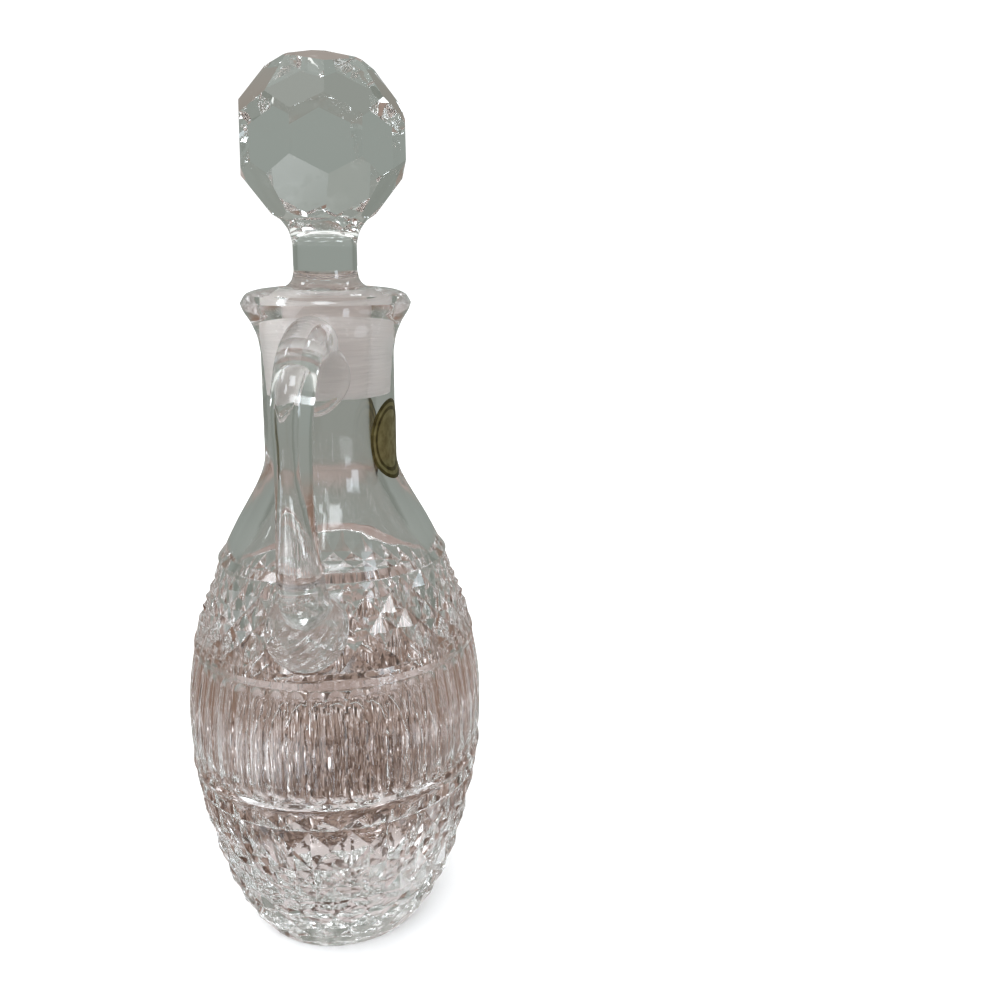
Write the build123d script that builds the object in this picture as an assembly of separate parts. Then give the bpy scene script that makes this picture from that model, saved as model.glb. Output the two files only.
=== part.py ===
from build123d import *
from math import cos, radians, sin
import os

# A handled cut crystal decanter with a solid faceted ball stopper.
# The origin is the middle of the flat ground base, +Z is up, and the handle stands out towards -Y.
# All sizes are in millimetres.

# bottle: heights of the bands above the base
lower_diamonds_bottom = 9.0
lower_diamonds_top = 47.5
facet_row_height = 5.0
lower_ring_height = 3.2
flute_height = 31.8
upper_ring_height = 4.0
upper_diamonds_height = 22.0
shoulder_height = 29.5
neck_height = 30.0
lip_height = 18.5

# bottle: radii of the outside
base_radius = 24.5
heel_radius = 31.0
lower_diamonds_radius = 42.0
body_radius = 43.4
ring_bulge = 0.7
upper_ring_radius = 40.5
shoulder_radius = 32.9
neck_radius = 18.9
lip_radius = 24.1

# bottle: inside
base_thickness = 9.0
body_wall = 6.0
bore_radius = 11.5
seat_depth = 31.0
seat_taper = 0.05
rim_chamfer = 0.6

# stopper
plug_clearance = 0.05
plug_end_chamfer = 0.8
plug_length = 29.5
shank_radius = 9.0
shank_length = 11.1
shank_foot_height = 5.0
shank_flare = 3.6
shank_flare_height = 8.0
ball_radius = 24.6
ball_side_cut = 22.1
ball_slant_cut = 22.5
ball_upper_cut = 23.0
ball_top_cut = 23.5
ball_facets_around = 8
ball_turn = 15.0
ball_slant_angle = 36.0
ball_upper_angle = 71.0

# handle and its two seals
handle_reach = 45.5
rod_radius = 5.4
handle_top_bend = 15.0
handle_foot_bend = 40.0
handle_top_drop = 13.5
handle_knee_height = 124.0
lower_seal_radius = 11.3
lower_seal_thickness = 3.5
lower_seal_drop = 11.0
lower_seal_lean = 23.0
upper_seal_radius = 10.2
upper_seal_thickness = 2.6
upper_seal_drop = 24.0

# foil label on the neck
label_width = 18.0
label_height = 23.0
label_thickness = 0.2
label_centre_height = 148.5
label_direction = -15.0

# heights worked out from the bands
facet_row_top = lower_diamonds_top + facet_row_height
flute_bottom = facet_row_top + lower_ring_height
flute_top = flute_bottom + flute_height
upper_diamonds_bottom = flute_top + upper_ring_height
upper_diamonds_top = upper_diamonds_bottom + upper_diamonds_height
neck_bottom = upper_diamonds_top + shoulder_height
neck_top = neck_bottom + neck_height
rim_height = neck_top + lip_height
seat_bottom = rim_height - seat_depth
seat_top_radius = bore_radius + seat_taper * seat_depth

# where the handle's lower seal lies on the slope of the upper diamonds
lower_seal_height = upper_diamonds_top - lower_seal_drop
seal_surface_radius = shoulder_radius + 0.62 * (upper_ring_radius - shoulder_radius)


def between(start, end, share):
    """The value that lies a given share of the way from start to end."""
    return start + (end - start) * share


def blend_points(start, end, shares):
    """Profile points between two (radius, height) points, from (radius share, height share) pairs."""
    return [(between(start[0], end[0], u), between(start[1], end[1], v)) for u, v in shares]


def turned(edges):
    """A solid of revolution about Z from a chain of profile edges in the XZ plane."""
    return revolve(make_face(Plane.XZ * Wire(edges)), Axis.Z)


def bottle_outside(skin=0.0):
    """The bottle's outer form as a full solid, grown outwards by a skin."""
    base = (base_radius + skin, 0.0)
    heel = (heel_radius + skin, lower_diamonds_bottom)
    band_top = (lower_diamonds_radius + skin, lower_diamonds_top)
    ring_low = (between(lower_diamonds_radius, body_radius, 0.5) + skin, facet_row_top)
    ring_high = (body_radius - ring_bulge + skin, flute_bottom)
    belt_middle = (body_radius + skin, between(flute_bottom, flute_top, 0.42))
    belt_top = (upper_ring_radius + ring_bulge + skin, flute_top)
    upper_low = (upper_ring_radius + skin, upper_diamonds_bottom)
    shoulder = (shoulder_radius + skin, upper_diamonds_top)
    neck_low = (neck_radius + skin, neck_bottom)
    neck_high = (neck_radius + skin, neck_top)
    lip_edge = (lip_radius + skin, rim_height - 4.5)
    lip_shoulder = (lip_radius - 1.6 + skin, rim_height - 1.9)
    rim = (seat_top_radius + rim_chamfer + skin, rim_height)

    lower_band = blend_points(heel, band_top, [(0.40, 0.26), (0.67, 0.53), (0.87, 0.76)])
    upper_band = blend_points(upper_low, shoulder, [(0.20, 0.32), (0.56, 0.62)])
    shoulder_run = blend_points(shoulder, neck_low, [(0.36, 0.34), (0.80, 0.72), (0.955, 0.88)])
    lip_run = blend_points(neck_high, lip_edge, [(0.13, 0.30), (0.46, 0.62), (0.90, 0.87)])
    ring_swell = (ring_high[0] + 0.5 * ring_bulge, between(facet_row_top, flute_bottom, 0.5))
    band_swell = (between(belt_top[0], upper_low[0], 0.5) + 0.5 * ring_bulge,
                  between(flute_top, upper_diamonds_bottom, 0.5))

    return turned([
        Line((0, 0), base),
        Line(base, heel),
        Spline(heel, *lower_band, band_top),
        Line(band_top, ring_low),
        ThreePointArc(ring_low, ring_swell, ring_high),
        ThreePointArc(ring_high, belt_middle, belt_top),
        ThreePointArc(belt_top, band_swell, upper_low),
        Spline(upper_low, *upper_band, shoulder),
        Spline(shoulder, *shoulder_run, neck_low, tangents=[(-0.45, 1), (0, 1)]),
        Line(neck_low, neck_high),
        Spline(neck_high, *lip_run, lip_edge, tangents=[(0, 1), (0, 1)]),
        Spline(lip_edge, lip_shoulder, rim, tangents=[(0, 1), (-1, 0.12)]),
        Line(rim, (0, rim_height)),
        Line((0, rim_height), (0, 0)),
    ])


def bottle_inside():
    """The room inside the bottle: the ground seat, the bore and the blown body."""
    chamfer_end = (seat_top_radius, rim_height - rim_chamfer)
    seat_end = (bore_radius, seat_bottom)
    bore_end = (bore_radius, neck_bottom + 0.2 * neck_height)
    shoulder = (shoulder_radius - body_wall, upper_diamonds_top)
    belt_top = (upper_ring_radius - body_wall, flute_top)
    belt = (body_radius - body_wall, between(flute_bottom, flute_top, 0.35))
    lower = (lower_diamonds_radius - body_wall, 0.92 * lower_diamonds_top)
    heel = (heel_radius - body_wall, base_thickness + 9.0)
    floor = (0.0, base_thickness)
    shoulder_run = blend_points(bore_end, shoulder, [(0.10, 0.36), (0.50, 0.68)])
    return turned([
        Line((0, rim_height), (seat_top_radius + rim_chamfer, rim_height)),
        Line((seat_top_radius + rim_chamfer, rim_height), chamfer_end),
        Line(chamfer_end, seat_end),
        Line(seat_end, bore_end),
        Spline(bore_end, *shoulder_run, shoulder, belt_top, belt, lower, heel, floor,
               tangents=[(0, -1), (-1, 0)]),
        Line(floor, (0, rim_height)),
    ])


def handle_rod():
    """The round rod of the handle, from inside the neck wall to inside the body wall."""
    top = rim_height - handle_top_drop
    path = FilletPolyline(
        (0, -(neck_radius - 0.5 * rod_radius), top),
        (0, -handle_reach, top),
        (0, -handle_reach, handle_knee_height),
        (0, -seal_surface_radius + lower_seal_thickness, lower_seal_height),
        radius=[handle_top_bend, handle_foot_bend],
    )
    section = Plane(origin=path @ 0, z_dir=path % 0) * Circle(rod_radius)
    return sweep(section, path=path)


def seal_pad(radius, thickness, surface_radius, height, lean):
    """A round pad of glass pressed on the outside of the bottle towards -Y, leaning up by lean degrees."""
    outwards = (0, -cos(radians(lean)), sin(radians(lean)))
    facing = Plane(origin=(0, -surface_radius, height), x_dir=(1, 0, 0), z_dir=outwards)
    punch = facing * Cylinder(radius, 6 * thickness)
    return (punch & bottle_outside(thickness)) - bottle_outside()


def ball():
    """The stopper's ball: a sphere with flat facets cut all round it, about its own centre."""
    step = 360 / ball_facets_around
    cuts = [(90.0, 0.0, ball_top_cut)]
    for number in range(ball_facets_around):
        turn = ball_turn + number * step
        cuts.append((0.0, turn, ball_side_cut))
        cuts.append((ball_slant_angle, turn + step / 2, ball_slant_cut))
        cuts.append((-ball_slant_angle, turn + step / 2, ball_slant_cut))
        if number % 2 == 0:
            cuts.append((ball_upper_angle, turn, ball_upper_cut))
    body = Sphere(ball_radius)
    slab = 2 * ball_radius
    for raised, turn, distance in cuts:
        facing = Rotation(0, 0, turn) * Rotation(0, 90 - raised, 0)
        body -= facing * Pos(0, 0, distance + slab / 2) * Box(2 * slab, 2 * slab, slab)
    return body


def stopper():
    """The solid stopper: tapered ground plug, shank and faceted ball in one piece."""
    plug_top = rim_height - rim_chamfer
    plug_bottom = plug_top - plug_length
    seat_gap = bore_radius - plug_clearance
    top_radius = seat_gap + seat_taper * (plug_top - seat_bottom)
    bottom_radius = seat_gap + seat_taper * (plug_bottom - seat_bottom)
    end = (bottom_radius - plug_end_chamfer, plug_bottom)
    end_edge = (bottom_radius, plug_bottom + plug_end_chamfer)
    plug_edge = (top_radius, plug_top)
    foot = (shank_radius, plug_top + shank_foot_height)
    foot_bend = (shank_radius + 0.6, plug_top + 0.52 * shank_foot_height)
    waist = (shank_radius, rim_height + shank_length)
    flare_end = (shank_radius + shank_flare, waist[1] + shank_flare_height)
    flare_bend = (shank_radius + 0.2 * shank_flare, between(waist[1], flare_end[1], 0.5))
    stem = turned([
        Line((0, plug_bottom), end),
        Line(end, end_edge),
        Line(end_edge, plug_edge),
        Spline(plug_edge, foot_bend, foot, tangents=[(-0.5, 1), (0, 1)]),
        Line(foot, waist),
        Spline(waist, flare_bend, flare_end, tangents=[(0, 1), (1, 0.9)]),
        Line(flare_end, (0, flare_end[1])),
        Line((0, flare_end[1]), (0, plug_bottom)),
    ])
    slant = radians(ball_slant_angle)
    ball_centre = flare_end[1] + (ball_slant_cut - flare_end[0] * cos(slant)) / sin(slant)
    return stem + Pos(0, 0, ball_centre) * ball()


def label():
    """The oval foil label, wrapped on the neck."""
    facing = Rotation(0, 0, label_direction) * Plane(origin=(0, 0, label_centre_height), x_dir=(0, 1, 0),
                                                     z_dir=(1, 0, 0))
    oval = extrude(facing * Ellipse(label_width / 2, label_height / 2), 2 * lip_radius)
    return (oval & bottle_outside(label_thickness)) - bottle_outside()


outside = bottle_outside()
bottle = outside - bottle_inside()
lower_seal = seal_pad(lower_seal_radius, lower_seal_thickness, seal_surface_radius, lower_seal_height,
                      lower_seal_lean)
upper_seal = seal_pad(upper_seal_radius, upper_seal_thickness, neck_radius, rim_height - upper_seal_drop, 0.0)
handle = handle_rod() - outside - lower_seal - upper_seal

nodes = {
    "bottle": bottle,
    "handle": handle,
    "handle_upper_seal": upper_seal,
    "handle_lower_seal": lower_seal,
    "stopper": stopper(),
    "foil_label": label(),
}

os.makedirs("parts", exist_ok=True)
for name, shape in nodes.items():
    shape.label = name
    export_step(shape, f"parts/{name}.step")
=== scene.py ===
import math

import bmesh
import bpy
from mathutils import Matrix, Vector


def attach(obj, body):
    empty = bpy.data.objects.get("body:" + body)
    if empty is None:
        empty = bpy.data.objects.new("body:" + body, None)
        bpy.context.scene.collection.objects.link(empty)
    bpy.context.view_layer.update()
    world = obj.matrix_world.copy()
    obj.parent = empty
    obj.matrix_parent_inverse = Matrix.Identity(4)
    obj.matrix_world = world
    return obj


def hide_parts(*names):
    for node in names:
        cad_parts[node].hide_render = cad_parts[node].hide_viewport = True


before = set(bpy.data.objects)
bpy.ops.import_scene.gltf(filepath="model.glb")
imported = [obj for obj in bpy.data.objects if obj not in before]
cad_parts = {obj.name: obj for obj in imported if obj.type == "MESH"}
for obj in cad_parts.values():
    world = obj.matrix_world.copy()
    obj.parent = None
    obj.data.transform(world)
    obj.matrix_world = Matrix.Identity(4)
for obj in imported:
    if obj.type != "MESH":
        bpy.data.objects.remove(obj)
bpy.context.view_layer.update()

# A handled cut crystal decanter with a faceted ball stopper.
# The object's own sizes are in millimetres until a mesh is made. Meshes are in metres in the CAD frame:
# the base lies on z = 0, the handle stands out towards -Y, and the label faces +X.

MM = 0.001
TURN = 2 * math.pi
HANDLE_ANGLE = -TURN / 4
SMOOTH_STEPS = 240

# heights on the bottle, from the base up
LOWEST_GROOVE = 0.9
INSIDE_FLOOR = 9.0
FLOOR_BEND_TOP = 22.0
LOWER_DIAMONDS_TOP = 47.5
FACET_ROW_TOP = 52.5
FLUTE_BOTTOM = 55.7
FLUTE_TOP = 87.5
UPPER_DIAMONDS_BOTTOM = 91.5
UPPER_DIAMONDS_TOP = 113.5
NECK_BOTTOM = 143.0
SEAT_BOTTOM = 160.5
NECK_TOP = 173.0
GROUND_TOP = 185.0
LIP_HEIGHT = 187.0
RIM_HEIGHT = 191.5

# radii of the bottle; the ground seat widens by SEAT_TAPER for each millimetre of height
BASE_RADIUS = 24.5
NECK_RADIUS = 18.9
LIP_RADIUS = 24.1
RIM_RADIUS = 13.65
RIM_ROUNDING = 0.6
BORE_RADIUS = 11.5
SEAT_TAPER = 0.05

# what is cut in each band: how many go round, and how deep they are
STAR_POINTS = 24
STAR_RADIUS = 21.0
STAR_MIDDLE_RADIUS = 9.0
STAR_DEPTH = 1.4
STAR_RIDGE = 0.25
STAR_CENTRE = 0.9
LOWER_DIAMONDS = 24
LOWER_DIAMONDS_DEPTH = 1.25
LOWER_DIAMONDS_ASPECT = 1.25
FACET_TRIANGLES = 32
FACET_DEPTH = 0.9
FLUTES = 48
FLUTE_DEPTH = 0.65
FLUTE_LAND = 0.5
FLUTE_FOOT = 2.6
FLUTE_CROWN = 3.4
UPPER_DIAMONDS = 28
UPPER_DIAMONDS_DEPTH = 1.5
BAND_GROOVE = 0.35


def curve(points):
    """A smooth curve y(x) through the points that never overshoots them."""
    xs = [float(x) for x, _ in points]
    ys = [float(y) for _, y in points]
    rises = [(ys[i + 1] - ys[i]) / (xs[i + 1] - xs[i]) for i in range(len(xs) - 1)]
    slopes = [rises[0]]
    for before, after in zip(rises, rises[1:]):
        slopes.append(0.0 if before * after <= 0 else 2 * before * after / (before + after))
    slopes.append(rises[-1])

    def at(x):
        x = min(max(x, xs[0]), xs[-1])
        i = max(k for k in range(len(xs) - 1) if xs[k] <= x)
        width = xs[i + 1] - xs[i]
        t = (x - xs[i]) / width
        return (ys[i] * (1 + 2 * t) * (1 - t) ** 2 + ys[i + 1] * t * t * (3 - 2 * t)
                + width * slopes[i] * t * (1 - t) ** 2 - width * slopes[i + 1] * t * t * (1 - t))

    return at


def steps(low, high, count):
    """Evenly spaced values from low to high, both ends included."""
    return [low + (high - low) * i / count for i in range(count + 1)]


# outside radius over height, band by band
lower_band = curve([(0.0, BASE_RADIUS), (4.0, 27.9), (9.0, 31.0), (19.0, 35.4), (29.4, 38.4), (38.3, 40.6),
                    (LOWER_DIAMONDS_TOP, 42.0)])
facet_row = curve([(LOWER_DIAMONDS_TOP, 42.0), (FACET_ROW_TOP, 42.7)])
lower_ring = curve([(FACET_ROW_TOP, 42.7), (54.1, 43.1), (FLUTE_BOTTOM, 42.7)])
belt = curve([(FLUTE_BOTTOM, 42.7), (62.0, 43.25), (69.5, 43.4), (77.0, 42.9), (83.0, 42.0),
              (FLUTE_TOP, 41.2)])
upper_ring = curve([(FLUTE_TOP, 41.2), (89.5, 41.25), (UPPER_DIAMONDS_BOTTOM, 40.5)])
upper_band = curve([(UPPER_DIAMONDS_BOTTOM, 40.5), (98.5, 39.0), (105.1, 36.2), (UPPER_DIAMONDS_TOP, 32.9)])
shoulder = curve([(UPPER_DIAMONDS_TOP, 32.9), (123.5, 27.9), (130.0, 24.2), (134.7, 21.6), (139.5, 19.6),
                  (NECK_BOTTOM, NECK_RADIUS), (NECK_TOP, NECK_RADIUS)])
lip = curve([(NECK_TOP, NECK_RADIUS), (177.2, 19.6), (181.7, 21.4), (185.2, 23.5), (LIP_HEIGHT, LIP_RADIUS)])
rim_height = curve([(RIM_RADIUS, RIM_HEIGHT), (18.5, 190.9), (22.4, 189.6), (LIP_RADIUS, LIP_HEIGHT)])
BANDS = [(LOWER_DIAMONDS_TOP, lower_band), (FACET_ROW_TOP, facet_row), (FLUTE_BOTTOM, lower_ring),
         (FLUTE_TOP, belt), (UPPER_DIAMONDS_BOTTOM, upper_ring), (UPPER_DIAMONDS_TOP, upper_band),
         (NECK_TOP, shoulder)]

# inside radius over height, below the ground seat
inside = curve([(INSIDE_FLOOR, 0.0), (9.6, 9.0), (12.0, 17.0), (18.0, 25.5), (29.0, 32.0), (43.7, 36.0),
                (66.0, 37.4), (87.5, 34.6), (100.0, 31.8), (113.5, 26.9), (124.9, 19.2), (132.0, 14.9),
                (137.5, 12.7), (149.0, BORE_RADIUS), (SEAT_BOTTOM, BORE_RADIUS)])


def outside(height):
    """The bottle's outside radius at any height up to the lip."""
    for top, band in BANDS:
        if height <= top:
            return band(height)
    return lip(height)


def seat(height):
    """The radius of the ground seat in the neck."""
    return BORE_RADIUS + SEAT_TAPER * (height - SEAT_BOTTOM)


class Shell:
    """A surface built up from closed rings of points round Z, stitched one to the next."""

    def __init__(self):
        self.mesh = bmesh.new()
        self.last = []
        self.slot = 0

    def point(self, angle, radius, height):
        """A new point, with the angle that it stands at."""
        place = Vector((radius * math.cos(angle), radius * math.sin(angle), height)) * MM
        return angle, self.mesh.verts.new(place)

    def face(self, *corners):
        """A new face, unless its corners fall together or it is there already."""
        corners = list(dict.fromkeys(corners))
        if len(corners) > 2 and self.mesh.faces.get(corners) is None:
            face = self.mesh.faces.new(corners)
            face.material_index = self.slot
            face.smooth = True

    def stitch(self, ring):
        """Joins the last ring to this one, whatever their numbers of points."""
        low, high = self.last, ring
        i = j = 0
        while i < len(low) or j < len(high):
            next_low = low[(i + 1) % len(low)][0] + TURN * ((i + 1) // len(low))
            next_high = high[(j + 1) % len(high)][0] + TURN * ((j + 1) // len(high))
            a, b = low[i % len(low)][1], low[(i + 1) % len(low)][1]
            c, d = high[j % len(high)][1], high[(j + 1) % len(high)][1]
            if i < len(low) and j < len(high) and abs(next_low - next_high) < 1e-6:
                self.face(a, b, d, c)
                i, j = i + 1, j + 1
            elif j == len(high) or (i < len(low) and next_low < next_high):
                self.face(a, b, c)
                i += 1
            else:
                self.face(a, d, c)
                j += 1

    def ring(self, radius, height, count=SMOOTH_STEPS):
        """One more plain round ring."""
        ring = [self.point(TURN * i / count, radius, height) for i in range(count)]
        if self.last:
            self.stitch(ring)
        self.last = ring

    def rings(self, outline, heights):
        """Plain round rings that follow an outline."""
        for height in heights:
            self.ring(outline(height), height)

    def close(self, height):
        """Closes the last ring with a fan to a point on the axis."""
        middle = self.mesh.verts.new((0, 0, height * MM))
        for i, (_, vert) in enumerate(self.last):
            self.face(vert, self.last[(i + 1) % len(self.last)][1], middle)

    def diamonds(self, rows, around, outline, depth, offset=0):
        """A band of four-sided pyramids between V-grooves that cross at every row."""
        half = math.pi / around
        widest = outline(rows[-1])
        lines = []
        for k, height in enumerate(rows):
            border = k in (0, len(rows) - 1)
            deep = depth * (outline(height) / widest) ** 2
            line = []
            for j in range(2 * around):
                crossing = (j + k + offset) % 2 == 0
                sunk = deep if crossing and not border else 0.0
                line.append(self.point(HANDLE_ANGLE + TURN + j * half, outline(height) - sunk, height))
            lines.append(line)
        self.stitch(self.wound(lines[0]))
        for k, line in enumerate(lines):
            for j in range(2 * around):
                if (j + k + offset) % 2 == 0:
                    continue
                peak = line[j][1]
                left, right = line[j - 1][1], line[(j + 1) % len(line)][1]
                if k + 1 < len(lines):
                    above = lines[k + 1][j][1]
                    self.face(peak, above, left)
                    self.face(peak, right, above)
                if k > 0:
                    below = lines[k - 1][j][1]
                    self.face(peak, left, below)
                    self.face(peak, below, right)
        self.last = self.wound(lines[-1])

    @staticmethod
    def wound(line):
        """The same ring, starting at the point nearest to angle zero, with its angles from there."""
        named = sorted((angle % TURN, index) for index, (angle, _) in enumerate(line))
        return [(angle, line[index][1]) for angle, index in named]

    def flutes(self, rows, around, outline, depth, land, across=8):
        """A belt of round-bottomed flutes with arched ends, parted by narrow flat lands."""
        step = TURN / around
        lines = []
        for height, open_share in rows:
            radius = outline(height)
            reach = (0.5 * step - 0.5 * land / radius) * open_share
            line = []
            for flute in range(around):
                middle = (flute + 0.5) * step
                for i in range(across + 1):
                    u = 2 * i / across - 1
                    sunk = depth * open_share ** 2 * (1 - abs(u) ** 3)
                    line.append(self.point(middle + u * reach, radius - sunk, height))
            lines.append(line)
        self.stitch(lines[0])
        for low, high in zip(lines, lines[1:]):
            for i in range(len(low)):
                k = (i + 1) % len(low)
                self.face(low[i][1], low[k][1], high[k][1], high[i][1])
        self.last = lines[-1]

    def finish(self, weld=1e-7):
        """The finished surface, cleaned, with its faces turned outwards."""
        bmesh.ops.remove_doubles(self.mesh, verts=self.mesh.verts, dist=weld)
        bmesh.ops.dissolve_degenerate(self.mesh, edges=self.mesh.edges, dist=weld)
        bmesh.ops.recalc_face_normals(self.mesh, faces=self.mesh.faces)
        return self.mesh


def diamond_rows(bottom, top, around, outline, aspect):
    """Heights of the groove crossings from the bottom up, spaced so that the diamonds keep their shape."""
    rows = [top]
    while True:
        height = rows[-1]
        lean = math.atan(outline(height) - outline(height - 1))
        step = aspect * math.pi * outline(height) / around * math.cos(lean)
        if height - 1.35 * step < bottom:
            return [bottom] + rows[::-1]
        rows.append(height - step)


def star_base(shell):
    """The star of V-grooves that is cut under the base."""
    for i in range(2 * STAR_POINTS):
        height = STAR_DEPTH if i % 2 else STAR_RIDGE
        shell.last.append(shell.point(i * TURN / (2 * STAR_POINTS), STAR_MIDDLE_RADIUS, height))
    shell.close(STAR_CENTRE)
    shell.ring(STAR_RADIUS, 0.0, 2 * STAR_POINTS)


def cut_bands(shell, grown):
    """The body's cut bands and the smooth rings between them."""
    rows = diamond_rows(LOWEST_GROOVE, LOWER_DIAMONDS_TOP, LOWER_DIAMONDS, lower_band, LOWER_DIAMONDS_ASPECT)
    shell.diamonds(rows, LOWER_DIAMONDS, grown(lower_band), LOWER_DIAMONDS_DEPTH, offset=len(rows) - 1)

    shell.ring(grown(facet_row)(LOWER_DIAMONDS_TOP) - BAND_GROOVE, LOWER_DIAMONDS_TOP + 0.25)
    row_middle = 0.5 * (LOWER_DIAMONDS_TOP + FACET_ROW_TOP)
    rows = [LOWER_DIAMONDS_TOP + 0.5, row_middle, FACET_ROW_TOP]
    shell.diamonds(rows, FACET_TRIANGLES, grown(facet_row), FACET_DEPTH)
    shell.rings(grown(lower_ring), steps(FACET_ROW_TOP, FLUTE_BOTTOM, 6)[1:])

    foot = [(FLUTE_BOTTOM + FLUTE_FOOT * (1 - math.cos(a)), math.sin(a)) for a in steps(0.05, TURN / 4, 6)]
    crown = [(FLUTE_TOP - FLUTE_CROWN * (1 - math.cos(a)), math.sin(a)) for a in steps(TURN / 4, 0.05, 7)]
    straight = [(height, 1.0) for height in steps(foot[-1][0], crown[0][0], 9)[1:-1]]
    shell.flutes(foot + straight + crown, FLUTES, grown(belt), FLUTE_DEPTH, FLUTE_LAND)
    shell.rings(grown(upper_ring), steps(FLUTE_TOP, UPPER_DIAMONDS_BOTTOM, 6)[1:])

    rows = steps(UPPER_DIAMONDS_BOTTOM + 0.2, UPPER_DIAMONDS_TOP, 5)
    shell.diamonds(rows, UPPER_DIAMONDS, grown(upper_band), UPPER_DIAMONDS_DEPTH)


def neck_and_lip(shell, grown):
    """The smooth shoulder, which starts with a low step above the diamonds, then the neck and the lip."""
    shell.ring(grown(shoulder)(UPPER_DIAMONDS_TOP) + 0.45, UPPER_DIAMONDS_TOP + 0.5)
    shell.ring(grown(shoulder)(UPPER_DIAMONDS_TOP + 1.8) + 0.35, UPPER_DIAMONDS_TOP + 1.8)
    shell.rings(grown(shoulder), steps(UPPER_DIAMONDS_TOP + 2.6, NECK_BOTTOM + 2, 24))
    shell.rings(grown(shoulder), steps(NECK_BOTTOM + 2, NECK_TOP, 8)[1:])
    shell.rings(grown(lip), steps(NECK_TOP, LIP_HEIGHT, 14)[1:])


def inner_wall(shell):
    """The ground seat from the rim down, and the clear wall and floor below it."""
    shell.ring(RIM_RADIUS - RIM_ROUNDING, RIM_HEIGHT - RIM_ROUNDING)
    for height in steps(RIM_HEIGHT - RIM_ROUNDING, SEAT_BOTTOM, 12)[1:]:
        shell.slot = int(height < GROUND_TOP)
        shell.ring(seat(height), height)
    shell.slot = 0
    shell.rings(inside, steps(SEAT_BOTTOM, FLOOR_BEND_TOP, 60)[1:])
    for share in steps(0.0, 1.0, 14)[1:-1]:
        height = INSIDE_FLOOR + (FLOOR_BEND_TOP - INSIDE_FLOOR) * (1 - share) ** 2
        shell.ring(inside(height), height)
    shell.close(INSIDE_FLOOR)


def bottle_shell(skin=0.0, hollow=True):
    """The bottle's mesh, or with hollow off a closed solid of its outer form, grown by a skin."""
    def grown(outline):
        return lambda height: outline(height) + skin

    shell = Shell()
    if hollow:
        star_base(shell)
    else:
        shell.ring(1.0, -skin, 2 * STAR_POINTS)
        shell.close(-skin)
    shell.ring(BASE_RADIUS - 0.6, -skin)
    shell.ring(BASE_RADIUS + 0.1 + skin, 0.3)
    cut_bands(shell, grown)
    neck_and_lip(shell, grown)
    for share in steps(0.0, 1.0, 16)[1:]:
        radius = RIM_RADIUS + (LIP_RADIUS - RIM_RADIUS) * math.cos(share * TURN / 4)
        shell.ring(radius + (skin if share < 1 else 0), rim_height(radius) + skin)
    if hollow:
        inner_wall(shell)
    else:
        shell.close(RIM_HEIGHT + skin)
    return shell.finish()


def piece(name, mesh, body, materials, sharp=25.0):
    """A piece from a bmesh. It rides on a body, unless it is a form or part of the stage."""
    data = bpy.data.meshes.new(name)
    mesh.to_mesh(data)
    mesh.free()
    data.set_sharp_from_angle(angle=math.radians(sharp))
    thing = bpy.data.objects.new(name, data)
    bpy.context.scene.collection.objects.link(thing)
    for material in materials:
        data.materials.append(material)
    if body:
        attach(thing, body)
    return thing


def apply_modifiers(thing):
    """Turns a piece's modifiers into its mesh."""
    graph = bpy.context.evaluated_depsgraph_get()
    made = bpy.data.meshes.new_from_object(thing.evaluated_get(graph))
    old = thing.data
    made.name = old.name
    thing.modifiers.clear()
    thing.data = made
    bpy.data.meshes.remove(old)


def combine(thing, operation, form):
    """Joins a form to a piece or cuts it away, and removes the form."""
    modifier = thing.modifiers.new("combine", "BOOLEAN")
    modifier.operation, modifier.solver, modifier.object = operation, "EXACT", form
    apply_modifiers(thing)
    bpy.data.objects.remove(form)


# ---------------------------------------------------------------- nodes

def nodes_of(name):
    """A new node material, with its tree and its shader."""
    material = bpy.data.materials.new(name)
    material.use_nodes = True
    tree = material.node_tree
    return material, tree, tree.nodes["Principled BSDF"]


def node(tree, kind, **values):
    """A new node; each value is set on the input of that name, or on the property of that name."""
    made = tree.nodes.new(kind)
    for key, value in values.items():
        spaced = key.replace("_", " ")
        if spaced in made.inputs:
            made.inputs[spaced].default_value = value
        else:
            setattr(made, key, value)
    return made


def noise(tree, vector, **values):
    """Noise over a place."""
    made = node(tree, "ShaderNodeTexNoise", **values)
    tree.links.new(vector, made.inputs["Vector"])
    return made.outputs["Fac"]


def spread(tree, value, start, end, first=0.0, last=1.0):
    """Goes evenly from first to last while the value goes from start to end."""
    made = node(tree, "ShaderNodeMapRange", From_Min=start, From_Max=end, To_Min=first, To_Max=last)
    tree.links.new(value, made.inputs["Value"])
    return made.outputs["Result"]


def fade(tree, value, start, end):
    """Goes softly from 0 to 1 while the value goes from start to end."""
    made = node(tree, "ShaderNodeMapRange", interpolation_type="SMOOTHSTEP", From_Min=start, From_Max=end)
    tree.links.new(value, made.inputs["Value"])
    return made.outputs["Result"]


def calculate(tree, operation, *values):
    """The output of a math node; a value is a number or another node's output."""
    made = node(tree, "ShaderNodeMath", operation=operation)
    for socket, value in zip(made.inputs, values):
        if isinstance(value, (int, float)):
            socket.default_value = value
        else:
            tree.links.new(value, socket)
    return made.outputs["Value"]


def measure(tree, operation, vector, other=None):
    """A number worked out from a vector, and from a second one if it is given."""
    made = node(tree, "ShaderNodeVectorMath", operation=operation)
    tree.links.new(vector, made.inputs[0])
    if other is not None:
        made.inputs[1].default_value = other
    return made.outputs["Value"]


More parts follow.
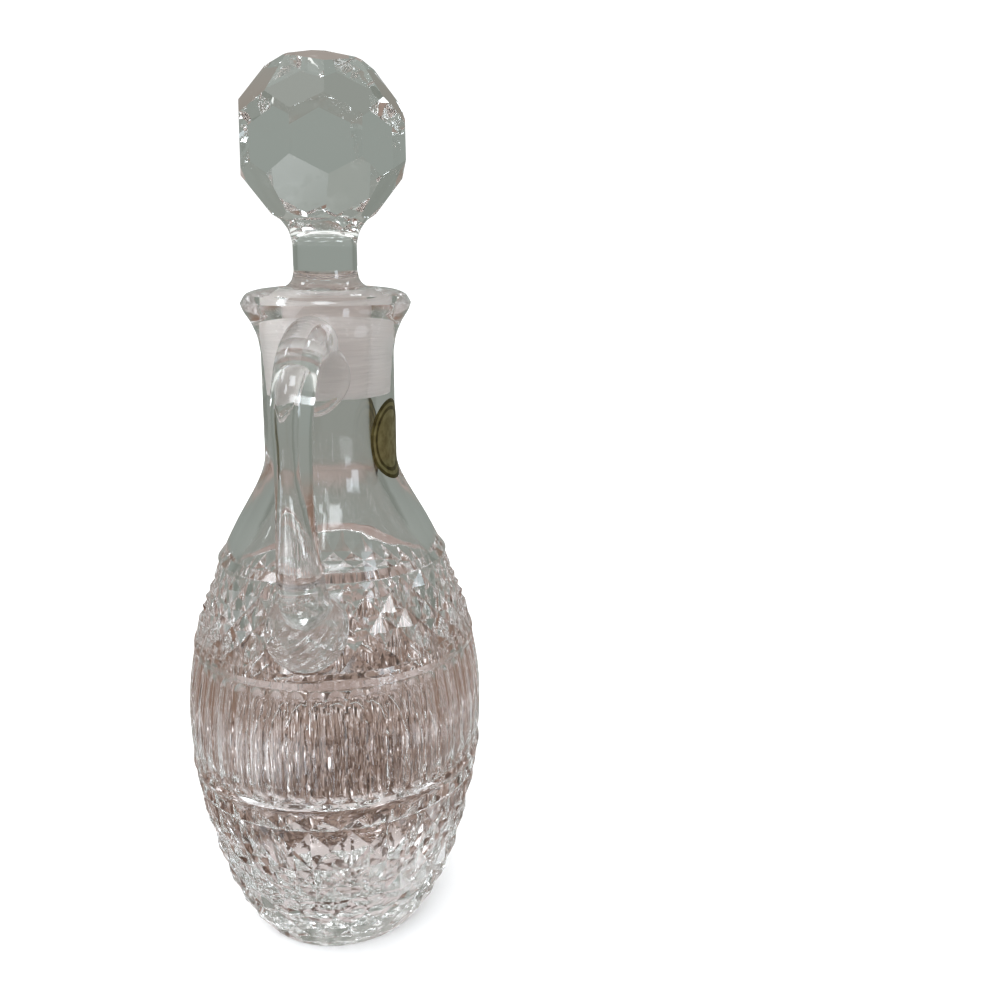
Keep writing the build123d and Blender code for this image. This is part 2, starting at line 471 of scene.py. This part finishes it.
def colour_ramp(tree, value, *stops):
    """A colour for each value; a stop is a position and its colour."""
    ramp = node(tree, "ShaderNodeValToRGB")
    elements = ramp.color_ramp.elements
    elements[0].position, elements[1].position = stops[0][0], stops[-1][0]
    elements[0].color, elements[1].color = (*stops[0][1], 1), (*stops[-1][1], 1)
    for position, colour in stops[1:-1]:
        elements.new(position).color = (*colour, 1)
    tree.links.new(value, ramp.inputs["Fac"])
    return ramp.outputs["Color"]


def lay_over(tree, under, colour, factor):
    """A colour laid over the one under it."""
    mix = node(tree, "ShaderNodeMix", data_type="RGBA")
    tree.links.new(factor, mix.inputs["Factor"])
    tree.links.new(under, mix.inputs["A"])
    mix.inputs["B"].default_value = (*colour, 1)
    return mix.outputs["Result"]


def surface(tree, factor, first, second, output):
    """Mixes two shaders into the tree's output."""
    mix = node(tree, "ShaderNodeMixShader")
    tree.links.new(factor, mix.inputs["Fac"])
    tree.links.new(first, mix.inputs[1])
    tree.links.new(second, mix.inputs[2])
    tree.links.new(mix.outputs["Shader"], node(tree, output).inputs["Surface"])


def raise_bumps(tree, shader, height, strength, distance):
    """Fine relief on a shader."""
    bump = node(tree, "ShaderNodeBump", Strength=strength, Distance=distance)
    tree.links.new(height, bump.inputs["Height"])
    tree.links.new(bump.outputs["Normal"], shader.inputs["Normal"])


# ---------------------------------------------------------------- materials

GLASS_IOR = 1.53


def crystal(name, tint, roughness, wave, wave_scale, polish=0.0):
    """Clear lead crystal with the faint waviness and haze of real glass; polish is a smooth skin over it."""
    material, tree, shader = nodes_of(name)
    shader.inputs["Base Color"].default_value = (*tint, 1)
    shader.inputs["Transmission Weight"].default_value = 1.0
    shader.inputs["IOR"].default_value = GLASS_IOR
    shader.inputs["Coat Weight"].default_value = polish
    place = node(tree, "ShaderNodeTexCoord").outputs["Object"]
    haze = noise(tree, place, Scale=90.0, Detail=3.0)
    tree.links.new(spread(tree, haze, 0.35, 0.75, roughness * 0.4, roughness), shader.inputs["Roughness"])
    swell = noise(tree, place, Scale=wave_scale, Detail=2.0)
    raise_bumps(tree, shader, swell, wave, 0.001)
    return material


def ground_crystal(name, pale, clear):
    """Ground glass: frosted, with the fine scratches that grinding round the axis leaves."""
    material, tree, shader = nodes_of(name)
    shader.inputs["Transmission Weight"].default_value = clear
    shader.inputs["IOR"].default_value = GLASS_IOR
    flat = node(tree, "ShaderNodeMapping", Scale=(70, 70, 1500))
    tree.links.new(node(tree, "ShaderNodeTexCoord").outputs["Object"], flat.inputs["Vector"])
    scratches = noise(tree, flat.outputs["Vector"], Scale=1.0, Detail=4.0)
    worn = [0.88 * part for part in pale]
    tree.links.new(colour_ramp(tree, scratches, (0.36, worn), (0.66, pale)), shader.inputs["Base Color"])
    tree.links.new(spread(tree, scratches, 0.3, 0.7, 0.34, 0.55), shader.inputs["Roughness"])
    raise_bumps(tree, shader, scratches, 0.6, 0.0003)
    return material


def gold_foil(name, dark, light):
    """Satin gold foil, slightly creased, darker where it is rubbed."""
    material, tree, shader = nodes_of(name)
    shader.inputs["Metallic"].default_value = 1.0
    place = node(tree, "ShaderNodeTexCoord").outputs["Object"]
    rub = noise(tree, place, Scale=420.0, Detail=5.0)
    tree.links.new(colour_ramp(tree, rub, (0.3, dark), (0.65, light)), shader.inputs["Base Color"])
    tree.links.new(spread(tree, rub, 0.3, 0.7, 0.5, 0.32), shader.inputs["Roughness"])
    raise_bumps(tree, shader, rub, 0.3, 0.0002)
    return material


bottle_glass = crystal("bottle_crystal", (0.972, 0.962, 0.958), 0.015, 0.14, 90.0)
handle_glass = crystal("handle_crystal", (0.99, 0.992, 0.99), 0.02, 0.10, 90.0)
seal_glass = crystal("tooled_crystal", (0.99, 0.992, 0.99), 0.26, 0.10, 90.0, polish=1.0)
stopper_glass = crystal("stopper_crystal", (0.99, 0.995, 0.99), 0.02, 0.10, 60.0)
seat_glass = ground_crystal("ground_seat", (1.0, 0.975, 0.955), 0.45)
plug_glass = ground_crystal("ground_plug", (0.97, 0.905, 0.87), 0.62)
foil = gold_foil("gold_foil", (0.26, 0.21, 0.09), (0.50, 0.43, 0.22))
foil_line = gold_foil("gold_foil_line", (0.06, 0.045, 0.015), (0.20, 0.16, 0.06))

# ---------------------------------------------------------------- bottle

bottle = piece("cut_bottle", bottle_shell(), "bottle", [bottle_glass, seat_glass], 12.0)
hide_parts("bottle")

# ---------------------------------------------------------------- handle

HANDLE_REACH = 45.5
HANDLE_TOP = 178.0
HANDLE_FOOT = 113.0
LOWER_SEAL_HEIGHT = 102.5
LOWER_SEAL_RADIUS = 11.3
LOWER_SEAL_THICKNESS = 3.5
UPPER_SEAL_HEIGHT = 167.5
UPPER_SEAL_WIDE = 10.0
UPPER_SEAL_TALL = 10.8
UPPER_SEAL_THICKNESS = 2.6
SEAL_SUNK = 1.5
CRIMP_DEPTH = 0.9
CRIMP_SPACING = 2.4
CRIMP_CENTRE = (-9.0, 11.0)
CRIMP_TOP = 3.5
FUSING_VOXEL = 0.45


def straight_run(begin, end, spacing):
    """Points along a straight run, without its first one."""
    count = max(1, round((end - begin).length / spacing))
    return [begin.lerp(end, i / count) for i in range(1, count + 1)]


def rounded_route(corners, radii, spacing):
    """Points along a polyline in the YZ plane whose inner corners are arcs."""
    route = [Vector(corners[0])]
    for before, corner, after, radius in zip(corners, corners[1:], corners[2:], radii):
        before, corner, after = Vector(before), Vector(corner), Vector(after)
        arrive, leave = (corner - before).normalized(), (after - corner).normalized()
        half = arrive.angle(leave) / 2
        start = corner - arrive * radius * math.tan(half)
        centre = corner + (leave - arrive).normalized() * radius / math.cos(half)
        side = 1 if arrive.cross(leave) > 0 else -1
        count = max(4, round(radius * 2 * half / spacing))
        route += straight_run(route[-1], start, spacing)
        for i in range(1, count + 1):
            turn = Matrix.Rotation(side * 2 * half * i / count, 2)
            route.append(centre + turn @ (start - centre))
    return route + straight_run(route[-1], Vector(corners[-1]), spacing)


def rod(mesh, route, radius_at, around=40):
    """A closed round tube along a route in the YZ plane."""
    rings = []
    for i, point in enumerate(route):
        ahead = (route[min(i + 1, len(route) - 1)] - route[max(i - 1, 0)]).normalized()
        side = Vector((-ahead.y, ahead.x))
        radius = radius_at(i / (len(route) - 1))
        ring = []
        for k in range(around):
            angle = TURN * k / around
            across = point + side * radius * math.sin(angle)
            ring.append(mesh.verts.new(Vector((radius * math.cos(angle), across.x, across.y)) * MM))
        rings.append(ring)
    for low, high in zip(rings, rings[1:]):
        for k in range(around):
            mesh.faces.new((low[k], low[k - 1], high[k - 1], high[k]))
    mesh.faces.new(rings[0])
    mesh.faces.new(rings[-1][::-1])


def on_glass(aside, along, height, lift):
    """A point near the handle: aside and along are distances on the bottle, and lift is one off it."""
    slope = math.atan(outside(height - 1) - outside(height + 1))
    level = height + along * math.cos(slope / 2)
    radius = outside(level)
    lean = math.atan((outside(level - 0.8) - outside(level + 0.8)) / 1.6)
    angle = HANDLE_ANGLE + aside / radius
    reach = radius + lift * math.cos(lean)
    return Vector((reach * math.cos(angle), reach * math.sin(angle), level + lift * math.sin(lean))) * MM


def pad(mesh, height, wide, tall, thickness, point=0.0, rings=14, around=56):
    """A pad of glass sunk into the bottle, with a bead near its edge; point draws its lower end out."""
    def outline(share, angle):
        drop = math.sin(angle)
        narrow = 1 - point * max(0.0, -drop) ** 2
        return share * wide * math.cos(angle) * narrow, share * tall * drop

    def crown(share):
        bead = 1.3 * math.exp(-((share - 0.87) / 0.08) ** 2)
        return (thickness + bead) * (1 - share ** 8) ** 0.5

    def layer(lift_at):
        made = [[mesh.verts.new(on_glass(0, 0, height, lift_at(0)))]]
        for r in range(1, rings + 1):
            share = r / rings
            made.append([mesh.verts.new(on_glass(*outline(share, TURN * k / around), height, lift_at(share)))
                         for k in range(around)])
        return made

    top, below = layer(crown), layer(lambda share: -SEAL_SUNK)
    for made, order in ((top, -1), (below, 1)):
        for k in range(around):
            mesh.faces.new((made[0][0], made[1][k - 1], made[1][k])[::order])
        for inner, outer in zip(made[1:], made[2:]):
            for k in range(around):
                mesh.faces.new((inner[k - 1], outer[k - 1], outer[k], inner[k])[::order])
    for k in range(around):
        mesh.faces.new((top[-1][k - 1], top[-1][k], below[-1][k], below[-1][k - 1]))


def handle_mesh():
    """The bent rod and its two pads, still apart: out from the neck, down, and in to the shoulder."""
    mesh = bmesh.new()
    route = rounded_route([(-15.5, HANDLE_TOP), (-HANDLE_REACH, HANDLE_TOP), (-HANDLE_REACH + 0.8, 134.0),
                           (-HANDLE_REACH + 5.0, HANDLE_FOOT), (-31.0, HANDLE_FOOT - 8.0)],
                          [22.0, 70.0, 9.0], 1.2)
    swell = curve([(0.0, 7.0), (0.12, 6.1), (0.25, 5.7), (0.37, 5.4), (0.46, 4.9), (0.56, 4.8), (0.66, 5.2),
                   (0.76, 5.9), (0.84, 6.4), (0.92, 6.6), (1.0, 6.8)])
    rod(mesh, route, swell)
    pad(mesh, LOWER_SEAL_HEIGHT, LOWER_SEAL_RADIUS, LOWER_SEAL_RADIUS, LOWER_SEAL_THICKNESS)
    pad(mesh, UPPER_SEAL_HEIGHT, UPPER_SEAL_WIDE, UPPER_SEAL_TALL, UPPER_SEAL_THICKNESS, point=0.25)
    bmesh.ops.recalc_face_normals(mesh, faces=mesh.faces)
    return mesh


def melt_together(thing):
    """Runs the rod and the pads into one smooth form of glass."""
    fuse = thing.modifiers.new("fuse", "REMESH")
    fuse.mode = "VOXEL"
    fuse.voxel_size = FUSING_VOXEL * MM
    smooth = thing.modifiers.new("smooth", "SMOOTH")
    smooth.factor, smooth.iterations = 0.5, 6
    apply_modifiers(thing)


def crimp(thing, middle):
    """Presses the crimping tool's curved lines into the lower seal, deeper towards the label side."""
    across, up = CRIMP_CENTRE
    for vert in thing.data.vertices:
        away = (vert.co - middle) / MM
        spot = math.hypot(away.x, away.z / 0.93)
        if spot < LOWER_SEAL_RADIUS and away.y < 0.5 and away.z < CRIMP_TOP:
            faint = min(1.0, (LOWER_SEAL_RADIUS - spot) / 1.5) * min(1.0, (CRIMP_TOP - away.z) / 3.0)
            side = min(1.0, max(0.25, (away.x + 4.0) / 8.0))
            sweep = math.hypot(away.x - across, away.z - up)
            groove = 0.5 + 0.5 * math.cos(TURN * sweep / CRIMP_SPACING)
            vert.co += vert.normal * -CRIMP_DEPTH * MM * faint * side * groove


def roughen_seal(thing, middle):
    """Gives the lower seal the second material, which is less clear than the rod."""
    for face in thing.data.polygons:
        near = (face.center - middle).length < (LOWER_SEAL_RADIUS + 0.5) * MM
        if near and face.center.z < (LOWER_SEAL_HEIGHT + 6.5) * MM:
            face.material_index = 1


handle = piece("applied_handle", handle_mesh(), "bottle", [handle_glass])
seal_middle = on_glass(0, 0, LOWER_SEAL_HEIGHT, 0)
melt_together(handle)
crimp(handle, seal_middle)
combine(handle, "DIFFERENCE", piece("bottle_form", bottle_shell(skin=-0.05, hollow=False), None, []))
handle.data.materials.clear()
handle.data.materials.append(handle_glass)
handle.data.materials.append(seal_glass)
roughen_seal(handle, seal_middle)
handle.data.shade_smooth()
handle.data.set_sharp_from_angle(angle=math.radians(50))
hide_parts("handle", "handle_upper_seal", "handle_lower_seal")

# ---------------------------------------------------------------- stopper

BALL_CENTRE = 231.53
BALL_RADIUS = 24.6
BALL_TURN = 15.0
# how far up the ball's facets face, in degrees, and how far they are from its centre
TOP_FACET = (90.0, 23.5)
CROWN_FACETS = (71.0, 23.0)
UPPER_FACETS = (36.0, 22.5)
SIDE_FACETS = (0.0, 22.1)
LOWER_FACETS = (-36.0, 22.5)
# how far a facet may stray: up or down and round in degrees, and outwards
FACET_LEAN = 1.4
FACET_TWIST = 1.6
FACET_SHIFT = 0.12
PLUG_BOTTOM = 161.4
PLUG_TOP = 190.9
PLUG_GAP = 0.05
PLUG_BEVEL = 0.8
SHANK_BOTTOM = 195.9
SHANK_RADIUS = 9.0
FLARE_TOP = 210.6


def wander(number):
    """How far a hand-cut facet strays from its place, from -1 to 1."""
    return math.sin(12.9898 * number)


def faceted_ball():
    """A ball with flat facets: a ring round its middle, slanted rings above and below, and its crown."""
    mesh = bmesh.new()
    bmesh.ops.create_uvsphere(mesh, u_segments=96, v_segments=48, radius=BALL_RADIUS * MM)
    cuts = [(*TOP_FACET, 0.0)]
    for number in range(8):
        turn = BALL_TURN + 45.0 * number
        cuts += [(*SIDE_FACETS, turn), (*UPPER_FACETS, turn + 22.5), (*LOWER_FACETS, turn + 22.5)]
        if number % 2 == 0:
            cuts.append((*CROWN_FACETS, turn))
    for number, (raised, distance, turn) in enumerate(cuts):
        raised = math.radians(raised + FACET_LEAN * wander(number + 1))
        turn = math.radians(turn + FACET_TWIST * wander(3 * number + 2))
        distance += FACET_SHIFT * wander(5 * number + 3)
        flat = math.cos(raised)
        facing = Vector((flat * math.cos(turn), flat * math.sin(turn), math.sin(raised)))
        parts = mesh.verts[:] + mesh.edges[:] + mesh.faces[:]
        cut = bmesh.ops.bisect_plane(mesh, geom=parts, plane_co=facing * distance * MM, plane_no=facing,
                                     clear_outer=True)
        rim = [edge for edge in cut["geom_cut"] if isinstance(edge, bmesh.types.BMEdge)]
        bmesh.ops.contextual_create(mesh, geom=rim)
    bmesh.ops.translate(mesh, verts=mesh.verts, vec=(0, 0, BALL_CENTRE * MM))
    bmesh.ops.recalc_face_normals(mesh, faces=mesh.faces)
    return mesh


def stem():
    """The ground plug and the shank that flares into the ball."""
    def plug(height):
        return seat(height) - PLUG_GAP

    shell = Shell()
    shell.slot = 1
    shell.ring(1.0, PLUG_BOTTOM, 48)
    shell.close(PLUG_BOTTOM)
    shell.ring(plug(PLUG_BOTTOM) - PLUG_BEVEL, PLUG_BOTTOM)
    shell.rings(plug, steps(PLUG_BOTTOM + PLUG_BEVEL, PLUG_TOP, 10))
    shell.slot = 0
    foot = curve([(PLUG_TOP, plug(PLUG_TOP)), (192.2, 10.6), (193.6, 9.55), (SHANK_BOTTOM, SHANK_RADIUS)])
    shell.rings(foot, steps(PLUG_TOP, SHANK_BOTTOM, 12)[1:])
    flare = curve([(SHANK_BOTTOM, SHANK_RADIUS), (202.6, SHANK_RADIUS), (206.6, 9.8), (209.0, 11.2),
                   (FLARE_TOP, 12.6)])
    shell.rings(flare, steps(SHANK_BOTTOM, FLARE_TOP, 16)[1:])
    shell.ring(12.7, FLARE_TOP + 1.0)
    shell.close(FLARE_TOP + 1.0)
    return shell.finish()


stopper = piece("ball_stopper", stem(), "stopper", [stopper_glass, plug_glass], 12.0)
combine(stopper, "UNION", piece("ball_form", faceted_ball(), None, [stopper_glass]))
stopper.data.set_sharp_from_angle(angle=math.radians(12))
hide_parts("stopper")

# ---------------------------------------------------------------- label

LABEL_HEIGHT = 148.5
LABEL_ANGLE = math.radians(-15)
LABEL_HALF_WIDE = 9.0
LABEL_HALF_TALL = 11.5
LABEL_GAP = 0.04
LABEL_RINGS = 22
DARK_RINGS = (16, 17, 20, 21)


def label_mesh(around=96):
    """The oval foil: a thin shell over the neck, with two pressed and darkened border lines."""
    mesh = bmesh.new()
    press = curve([(0.0, 0.18), (0.72, 0.18), (0.78, 0.26), (0.84, 0.18), (0.90, 0.26), (0.95, 0.18),
                   (1.0, 0.12)])

    def layer(lift_at):
        made = []
        for r in range(LABEL_RINGS + 1):
            share = r / LABEL_RINGS
            ring = []
            for k in range(around if r else 1):
                angle = TURN * k / around
                height = LABEL_HEIGHT + share * LABEL_HALF_TALL * math.sin(angle)
                radius = outside(height) + lift_at(share)
                turn = LABEL_ANGLE + share * LABEL_HALF_WIDE * math.cos(angle) / NECK_RADIUS
                place = Vector((radius * math.cos(turn), radius * math.sin(turn), height)) * MM
                ring.append(mesh.verts.new(place))
            made.append(ring)
        return made

    top, back = layer(press), layer(lambda share: LABEL_GAP)
    for made in (top, back):
        for k in range(around):
            mesh.faces.new((made[0][0], made[1][k - 1], made[1][k]))
        for number in range(1, LABEL_RINGS):
            inner, outer = made[number], made[number + 1]
            for k in range(around):
                face = mesh.faces.new((inner[k - 1], outer[k - 1], outer[k], inner[k]))
                face.material_index = int(number in DARK_RINGS)
    for k in range(around):
        mesh.faces.new((top[-1][k - 1], top[-1][k], back[-1][k], back[-1][k - 1])).material_index = 1
    bmesh.ops.recalc_face_normals(mesh, faces=mesh.faces)
    for face in mesh.faces:
        face.smooth = True
    return mesh


label = piece("oval_label", label_mesh(), "bottle", [foil, foil_line], 40.0)
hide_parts("foil_label")

# ---------------------------------------------------------------- camera

CAMERA_DISTANCE = 291.5
CAMERA_HEIGHT = 200.0
CAMERA_TURN = math.radians(12.0)
HEADING_OFF_AXIS = math.radians(9.8)
CAMERA_PITCH = math.radians(9.9)

scene = bpy.context.scene
camera_data = bpy.data.cameras.new("camera")
camera = bpy.data.objects.new("camera", camera_data)
scene.collection.objects.link(camera)
scene.camera = camera
camera_data.lens = 35.9
camera_data.sensor_width = 36.0
camera_data.shift_y = -0.07
camera_data.clip_start = 0.01
camera.location = Vector((CAMERA_DISTANCE * math.sin(CAMERA_TURN), -CAMERA_DISTANCE * math.cos(CAMERA_TURN),
                          CAMERA_HEIGHT)) * MM
camera.rotation_euler = (TURN / 4 - CAMERA_PITCH, 0, CAMERA_TURN - HEADING_OFF_AXIS)

# ---------------------------------------------------------------- floor, light and surroundings

# light is reflected many times inside the cut glass, and each time counts as a glossy bounce
scene.cycles.max_bounces = 64
scene.cycles.transmission_bounces = 64
scene.cycles.glossy_bounces = 32
scene.view_settings.view_transform = "Standard"

SKYLIGHT = (9.0, 9.6, 10.0)
WINDOW = (6.0, 6.7, 7.4)
DAYLIGHT = (2.3, 2.35, 2.45)
SHADE = (0.21, 0.23, 0.205)
BROWN = (0.24, 0.15, 0.11)
TAUPE = (0.43, 0.34, 0.31)
BARE_WOOD = (0.32, 0.23, 0.19)
DEEP_BROWN = (0.10, 0.06, 0.045)
PALE_UNDER = (0.74, 0.68, 0.67)

# the room's colours, from 0 straight down to 1 straight up
ROOM_COLOURS = [
    (0.20, (0.33, 0.27, 0.24)),
    (0.34, (0.275, 0.288, 0.262)),
    (0.52, (0.285, 0.313, 0.289)),
    (1.00, (0.38, 0.41, 0.38)),
]
# azimuth, elevation, half width, half height and colour of what stands round the room, in degrees
ROOM_PATCHES = [
    (-112, 0, 20, 50, SHADE),
    (112, 0, 20, 50, SHADE),
    (40, 20, 6, 13, WINDOW),
    (-3, 52, 12, 5, SKYLIGHT),
    (-44, 40, 4, 5, SKYLIGHT),
    (115, 52, 4, 4, SKYLIGHT),
    (-118, 50, 4, 4, SKYLIGHT),
    (-80, 44, 5, 6, SKYLIGHT),
]
# the small things scattered on the table, as colours over noise, from dark bits to pale ones; the brightest,
# above white, are painted glints of light
TABLE_BITS_AND_GLINTS = [
    (0.37, (0.03, 0.018, 0.014)),
    (0.45, (0.12, 0.07, 0.052)),
    (0.485, (0.31, 0.22, 0.18)),
    (0.56, (0.36, 0.265, 0.225)),
    (0.60, (0.9, 0.82, 0.80)),
    # painted glints of light, brighter than white
    (0.66, (2.2, 2.2, 2.25)),
]
# azimuth in degrees, distance and radius in metres, and colour of what lies on the table; the DAYLIGHT
# patches are painted pools of light on it
TABLE_PATCHES = [
    (0, 0, 0.036, PALE_UNDER),
    # a painted pool of daylight on the table
    (-52, 0.25, 0.12, DAYLIGHT),
    (-40, 0.085, 0.028, DEEP_BROWN),
    (62, 0.22, 0.05, DAYLIGHT),
    (-118, 0.42, 0.17, BROWN),
    (118, 0.42, 0.17, BROWN),
    (180, 0.42, 0.20, TAUPE),
]


def towards(azimuth, elevation):
    """A unit direction; azimuth 0 points from the decanter to the camera's side and 90 to its right."""
    turn, rise = CAMERA_TURN - TURN / 4 + math.radians(azimuth), math.radians(elevation)
    return Vector((math.cos(rise) * math.cos(turn), math.cos(rise) * math.sin(turn), math.sin(rise)))


def add_patch(tree, direction, under, azimuth, elevation, wide, tall, colour, soft=0.25):
    """Lays a soft-edged rectangle of colour on the room, wide and tall being its half angles."""
    centre = towards(azimuth, elevation)
    right = Vector((0, 0, 1)).cross(centre).normalized()
    up = centre.cross(right)
    ahead = calculate(tree, "MAXIMUM", measure(tree, "DOT_PRODUCT", direction, centre), 0.001)
    shares = []
    for axis, half in ((right, wide), (up, tall)):
        aside = calculate(tree, "ABSOLUTE", measure(tree, "DOT_PRODUCT", direction, axis))
        slope = calculate(tree, "DIVIDE", aside, ahead)
        shares.append(calculate(tree, "DIVIDE", slope, math.tan(math.radians(half))))
    farther = calculate(tree, "MAXIMUM", *shares)
    return lay_over(tree, under, colour, fade(tree, farther, 1 + soft, 1 - soft))


def surroundings():
    """White to the camera and to the floor; to the glass, a dull sage room that is brown below."""
    world = bpy.data.worlds.new("room")
    world.use_nodes = True
    scene.world = world
    tree = world.node_tree
    tree.nodes.clear()
    direction = node(tree, "ShaderNodeTexCoord").outputs["Generated"]
    parts = node(tree, "ShaderNodeSeparateXYZ")
    tree.links.new(direction, parts.inputs["Vector"])
    colour = colour_ramp(tree, spread(tree, parts.outputs["Z"], -1.0, 1.0), *ROOM_COLOURS)
    for patch in ROOM_PATCHES:
        colour = add_patch(tree, direction, colour, *patch)
    room = node(tree, "ShaderNodeBackground", Strength=1.0)
    tree.links.new(colour, room.inputs["Color"])
    white = node(tree, "ShaderNodeBackground", Color=(1, 1, 1, 1))
    from_left = measure(tree, "DOT_PRODUCT", direction, towards(-75, 15))
    tree.links.new(spread(tree, from_left, 0.0, 1.0, 1.15, 2.35), white.inputs["Strength"])
    path = node(tree, "ShaderNodeLightPath")
    scattered = calculate(tree, "GREATER_THAN", path.outputs["Diffuse Depth"], 0.5)
    plain = calculate(tree, "MAXIMUM", path.outputs["Is Camera Ray"], scattered)
    surface(tree, plain, room.outputs["Background"], white.outputs["Background"], "ShaderNodeOutputWorld")


def stage_piece(name, mesh, material):
    """A flat thing under the decanter that is not part of it."""
    thing = piece(name, mesh, None, [material])
    return thing


def floor():
    """The plain pale floor, which the glass neither mirrors nor shows."""
    material, _, shader = nodes_of("pale_floor")
    shader.inputs["Base Color"].default_value = (0.9, 0.9, 0.9, 1)
    shader.inputs["Roughness"].default_value = 0.9
    shader.inputs["Specular IOR Level"].default_value = 0.0
    mesh = bmesh.new()
    bmesh.ops.create_grid(mesh, x_segments=1, y_segments=1, size=20.0)
    ground = stage_piece("floor", mesh, material)
    ground.visible_transmission = False
    ground.visible_glossy = False


def table_material():
    """Softly glowing brown wood with small things and painted pools of daylight on it, bare farther out, and
    then gone. The glow is painted light: the table sends out the colours of a lit table, and no lamp lights
    it.
    """
    material = bpy.data.materials.new("table_top")
    material.use_nodes = True
    tree = material.node_tree
    tree.nodes.clear()
    place = node(tree, "ShaderNodeTexCoord").outputs["Object"]
    reach = measure(tree, "LENGTH", place)
    colour = colour_ramp(tree, noise(tree, place, Scale=26.0, Detail=3.0, Roughness=0.7), *TABLE_BITS_AND_GLINTS)
    colour = lay_over(tree, colour, BARE_WOOD, fade(tree, reach, 0.26, 0.48))
    for azimuth, distance, radius, paint in TABLE_PATCHES:
        away = measure(tree, "DISTANCE", place, towards(azimuth, 0) * distance)
        colour = lay_over(tree, colour, paint, fade(tree, away, 1.25 * radius, 0.75 * radius))
    specks = fade(tree, noise(tree, place, Scale=110.0, Detail=2.0, Roughness=0.6), 0.48, 0.42)
    near_specks = calculate(tree, "MULTIPLY", specks, fade(tree, reach, 0.16, 0.09))
    colour = lay_over(tree, colour, DEEP_BROWN, near_specks)
    # painted light: the table's colours are sent out as light, in place of lamplight falling on it
    glow = node(tree, "ShaderNodeEmission", Strength=1.0)
    tree.links.new(colour, glow.inputs["Color"])
    clear = node(tree, "ShaderNodeBsdfTransparent")
    surface(tree, fade(tree, reach, 0.75, 0.30), clear.outputs["BSDF"], glow.outputs["Emission"],
            "ShaderNodeOutputMaterial")
    return material


def table_top():
    """The brown table round the decanter, which shows only in the glass and the foil."""
    mesh = bmesh.new()
    bmesh.ops.create_circle(mesh, cap_ends=True, segments=96, radius=0.8)
    table = stage_piece("table_top", mesh, table_material())
    table.location.z = -0.3 * MM
    table.visible_camera = False
    table.visible_diffuse = False
    table.visible_shadow = False


def softbox(name, azimuth, elevation, distance, side, power):
    """A soft square light that faces the middle of the decanter."""
    data = bpy.data.lights.new(name, "AREA")
    data.shape = "SQUARE"
    data.size = side
    data.energy = power
    lamp = bpy.data.objects.new(name, data)
    scene.collection.objects.link(lamp)
    middle = Vector((0, 0, 0.12))
    lamp.location = middle + towards(azimuth, elevation) * distance
    lamp.rotation_mode = "QUATERNION"
    lamp.rotation_quaternion = (middle - lamp.location).to_track_quat("-Z", "Y")


surroundings()
floor()
table_top()
softbox("overhead", 0, 88, 1.5, 1.2, 3.0)
